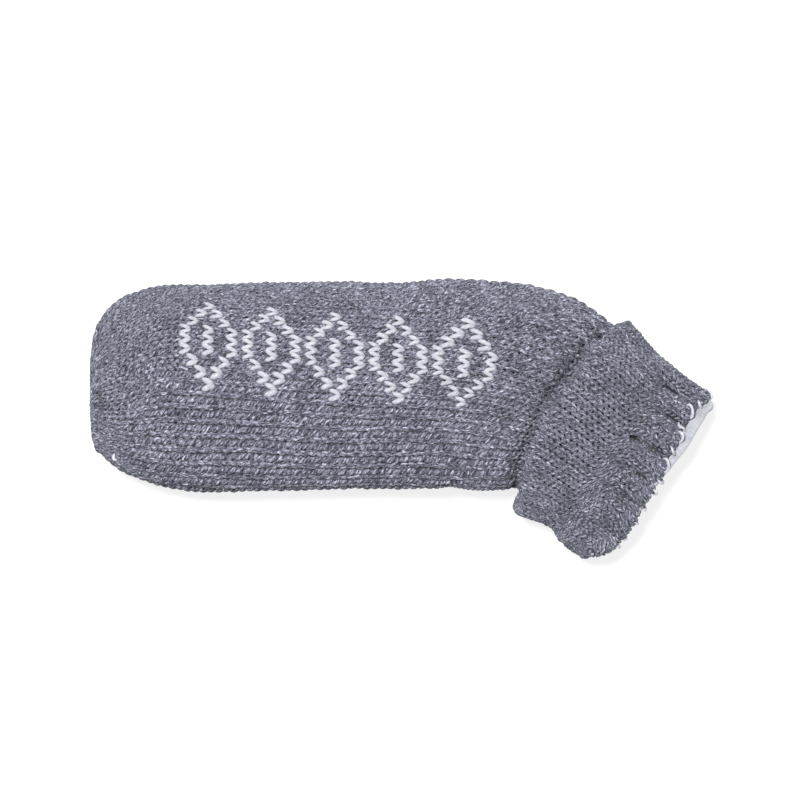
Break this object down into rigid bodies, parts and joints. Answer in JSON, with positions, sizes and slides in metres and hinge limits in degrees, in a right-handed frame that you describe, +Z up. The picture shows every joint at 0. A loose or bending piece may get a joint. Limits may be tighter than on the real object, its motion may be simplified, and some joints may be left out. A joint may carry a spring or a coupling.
{
  "type": "putter head cover",
  "caption": "Knitted blade putter head cover: a soft lined pouch with a white inlaid diamond motif, and an angled neck with a turned-back cuff.",
  "frame": {"origin": "centre of the whole cover's box, on the ground that it lies on", "axes": "+X along the pouch from its closed toe towards the neck, +Y across the cover in the plane it lies in, +Z up out of the knitted face"},
  "size_m": [0.215, 0.097, 0.0386],
  "materials": {
    "grey_knit": "grey heather yarn, stockinette knit, matt and slightly hairy",
    "white_knit": "white yarn inlaid in the knit, matt",
    "white_thread": "white sewing thread",
    "white_lining": "white brushed lining cloth"
  },
  "bodies": {
    "pouch": {"knit_pouch": "grey_knit", "motif_yarn": "white_knit", "toe_seam": "grey_knit", "toe_tack_stitch": "white_thread", "lining_pouch": "white_lining"},
    "cuff": {"knit_neck": "grey_knit", "turned_cuff": "grey_knit", "cast_on_edge": "grey_knit", "lining_neck": "white_lining", "lining_hem": "white_lining", "hem_stitches": "white_thread"}
  },
  "joints": [
    {"name": "neck_bend", "type": "hinge", "parent": "pouch", "child": "cuff", "pos_m": [0.03544, 0.01246, 0.0186], "axis": [0, 0, 1], "range_deg": [-25, 31]}
  ]
}
